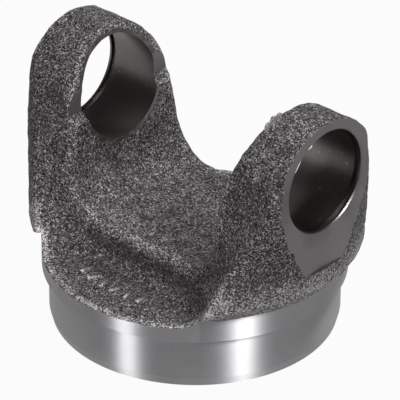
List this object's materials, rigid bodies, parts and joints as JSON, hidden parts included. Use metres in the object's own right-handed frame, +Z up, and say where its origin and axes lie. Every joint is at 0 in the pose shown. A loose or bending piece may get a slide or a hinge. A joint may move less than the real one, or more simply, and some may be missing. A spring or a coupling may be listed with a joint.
{
  "type": "drive shaft weld yoke",
  "caption": "Forged steel yoke with two bored ears for a universal joint's cross and a turned end that welds into a drive shaft tube.",
  "frame": {"origin": "centre of the flat end face of the pilot, on the yoke's own axis", "axes": "+Z up along the drive shaft from the tube end to the ears, +X along the cross bore, +Y out through the gap between the ears"},
  "size_m": [0.0982, 0.0886, 0.0797],
  "materials": {
    "forged_steel": "shot blasted forging scale, dark grey, rough",
    "machined_steel": "fine turned, faced and bored steel, bare"
  },
  "bodies": {
    "root": {"weld_yoke": "forged_steel"}
  },
  "joints": []
}
